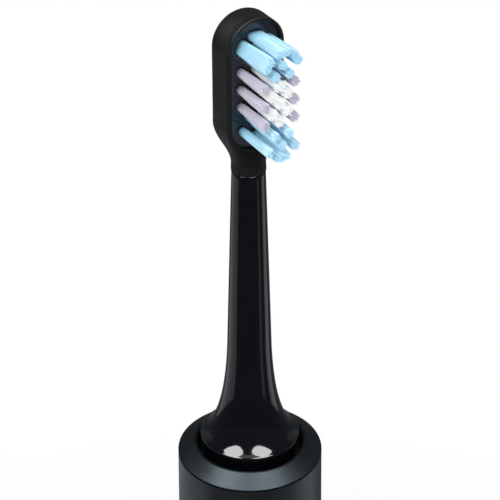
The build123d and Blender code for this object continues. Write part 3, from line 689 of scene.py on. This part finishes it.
def painted_reflection_card(name, start, end, near, far, glow, height):
    """A sector as bright as its glow, in degrees from the front, positive towards +X: a glowing card that
    paints a reflection.
    """
    verts = []
    for step in range(FLAG_STEPS + 1):
        angle = math.radians(start + (end - start) * step / FLAG_STEPS)
        for r in (near, far):
            verts.append((r * math.sin(angle), -r * math.cos(angle), height))
    faces = [(2 * step, 2 * step + 1, 2 * step + 3, 2 * step + 2) for step in range(FLAG_STEPS)]
    obj = new_object(name, verts, faces)
    mat, _, _, shader = new_material(name)
    shader.inputs["Base Color"].default_value = FLAG_PAINT
    # Painted reflection: the card's glow is seen only in reflections, not by the camera, diffuse light or
    # shadows
    shader.inputs["Emission Color"].default_value = REFLECTION_GLOW_TINT
    shader.inputs["Emission Strength"].default_value = glow
    shader.inputs["Specular IOR Level"].default_value = 0.0
    obj.data.materials.append(mat)
    obj.visible_camera = False
    obj.visible_diffuse = False
    obj.visible_shadow = False
    obj.visible_transmission = False


REFLECTION_CARDS = (
    dict(name="painted_reflection_dark", start=-180, end=180, near=FLAG_NEAR, far=FLAG_FAR, glow=0.1),
    dict(name="painted_reflection_left_near", start=-188, end=-102, near=FLAG_NEAR, far=MID_NEAR, glow=0.45),
    dict(name="painted_reflection_left", start=-168, end=-102, near=MID_NEAR, far=MID_FAR, glow=0.7),
    dict(name="painted_reflection_right_near", start=44, end=88, near=FLAG_NEAR, far=MID_NEAR, glow=0.7),
    dict(name="painted_reflection_right", start=60, end=88, near=MID_NEAR, far=MID_FAR, glow=1.0),
    dict(name="painted_reflection_strip", start=24, end=36, near=MID_NEAR, far=MID_FAR, glow=0.62),
)
for place, reflection_card in enumerate(REFLECTION_CARDS):
    painted_reflection_card(height=FLAG_UP + place * FLAG_STEP, **reflection_card)


# World: white to the camera and through glass, a dim studio to reflections, an even soft light to the rest

WHITE = (1.0, 1.0, 1.0, 1)
STUDIO_TINT = (0.86, 0.95, 1.0, 1)
SOFT_LIGHT = 0.42
STUDIO_DIM = 0.17


def background(nodes, colour, strength):
    """An even light from all round."""
    node = nodes.new("ShaderNodeBackground")
    node.inputs["Color"].default_value = colour
    node.inputs["Strength"].default_value = strength
    return node.outputs["Background"]


world = bpy.data.worlds.new("studio")
bpy.context.scene.world = world
world.use_nodes = True
nodes, links = world.node_tree.nodes, world.node_tree.links
nodes.clear()
soft = background(nodes, WHITE, SOFT_LIGHT)
dim = background(nodes, STUDIO_TINT, STUDIO_DIM)
plain = background(nodes, WHITE, 1.0)
lit = mix_shaders(nodes, links, light_path(nodes, links, "Is Glossy Ray"), soft, dim)
straight = light_path(nodes, links, "Is Camera Ray", "Is Transmission Ray")
mixed = mix_shaders(nodes, links, straight, lit, plain)
links.new(mixed, nodes.new("ShaderNodeOutputWorld").inputs["Surface"])


# Lamps: directions in degrees from the front, positive towards +X and upwards, and lengths in metres

LAMP_TARGET = Vector((0, 0, 0.2))


def lamp(name, azimuth, elevation, distance, width, height, radiance, mirrored, roll=0.0):
    """An oval lamp that looks at the brush. A mirrored one shows only in reflections, and any other one
    lights everything but reflections."""
    a, e = math.radians(azimuth), math.radians(elevation)
    away = Vector((math.sin(a) * math.cos(e), -math.cos(a) * math.cos(e), math.sin(e)))
    data = bpy.data.lights.new(name, "AREA")
    data.shape = "ELLIPSE"
    data.size = width
    data.size_y = height
    data.energy = radiance * math.pi * math.pi * width * height / 4
    obj = bpy.data.objects.new(name, data)
    obj.location = LAMP_TARGET + away * distance
    rolled = Quaternion((0, 0, 1), math.radians(roll))
    obj.rotation_euler = (away.to_track_quat("Z", "Y") @ rolled).to_euler()
    obj.visible_diffuse = not mirrored
    obj.visible_transmission = not mirrored
    obj.visible_glossy = mirrored
    bpy.context.scene.collection.objects.link(obj)


SOFT_LAMPS = (
    dict(name="light_left", azimuth=-84, elevation=42, distance=0.95, width=0.6, height=0.6, radiance=6.1),
    dict(name="light_right", azimuth=10, elevation=34, distance=0.95, width=0.6, height=0.6, radiance=6.5),
    dict(name="light_over", azimuth=-35, elevation=80, distance=1.0, width=0.7, height=0.7, radiance=2.2),
)
BOX = dict(elevation=50, distance=0.9, width=0.53, height=0.8, radiance=20.0)
BACK_BOX = dict(elevation=18, distance=1.0, width=0.7, height=0.45, radiance=0.22)
MIRRORED_LAMPS = (
    dict(name="box_left", azimuth=-80.5, roll=40, **BOX),
    dict(name="box_right", azimuth=1, roll=-40, **BOX),
    dict(name="box_over", azimuth=-35, elevation=84, distance=1.1, width=0.8, height=0.8, radiance=1.7),
    dict(name="box_back_left", azimuth=-158, **BACK_BOX),
    dict(name="box_back_right", azimuth=93, **BACK_BOX),
)
for look in SOFT_LAMPS:
    lamp(mirrored=False, **look)
for look in MIRRORED_LAMPS:
    lamp(mirrored=True, **look)


# Camera: placed and turned as the photograph was taken

AXIS_DISTANCE = 0.4
CAMERA_Z = 0.468458
AZIMUTH = math.radians(32.5)
LOOK = math.radians(32.5288)
PITCH = math.radians(32.0507)
ROLL = math.radians(-0.2713)
FOCAL_PIXELS = 2454.12
PHOTO_PIXELS = 500
SENSOR = 36.0
CLIP_NEAR = 0.01
CLIP_FAR = 50

forward = Vector((math.sin(LOOK) * math.cos(PITCH), math.cos(LOOK) * math.cos(PITCH), -math.sin(PITCH)))
level = Vector((math.cos(LOOK), -math.sin(LOOK), 0))
upright = level.cross(forward)
right = level * math.cos(ROLL) + upright * math.sin(ROLL)
up = upright * math.cos(ROLL) - level * math.sin(ROLL)
turn = Matrix((right, up, -forward)).transposed().to_4x4()
stand = Vector((-AXIS_DISTANCE * math.sin(AZIMUTH), -AXIS_DISTANCE * math.cos(AZIMUTH), CAMERA_Z))

camera_data = bpy.data.cameras.new("camera")
camera_data.sensor_width = SENSOR
camera_data.lens = SENSOR * FOCAL_PIXELS / PHOTO_PIXELS
camera_data.clip_start = CLIP_NEAR
camera_data.clip_end = CLIP_FAR
camera = bpy.data.objects.new("camera", camera_data)
camera.matrix_world = Matrix.Translation(stand) @ turn
bpy.context.scene.collection.objects.link(camera)
bpy.context.scene.camera = camera
bpy.context.scene.view_settings.view_transform = "Standard"

# Light goes on between the close bristles for many bounces

bpy.context.scene.cycles.diffuse_bounces = 12
bpy.context.scene.cycles.max_bounces = 16

bpy.context.view_layer.update()
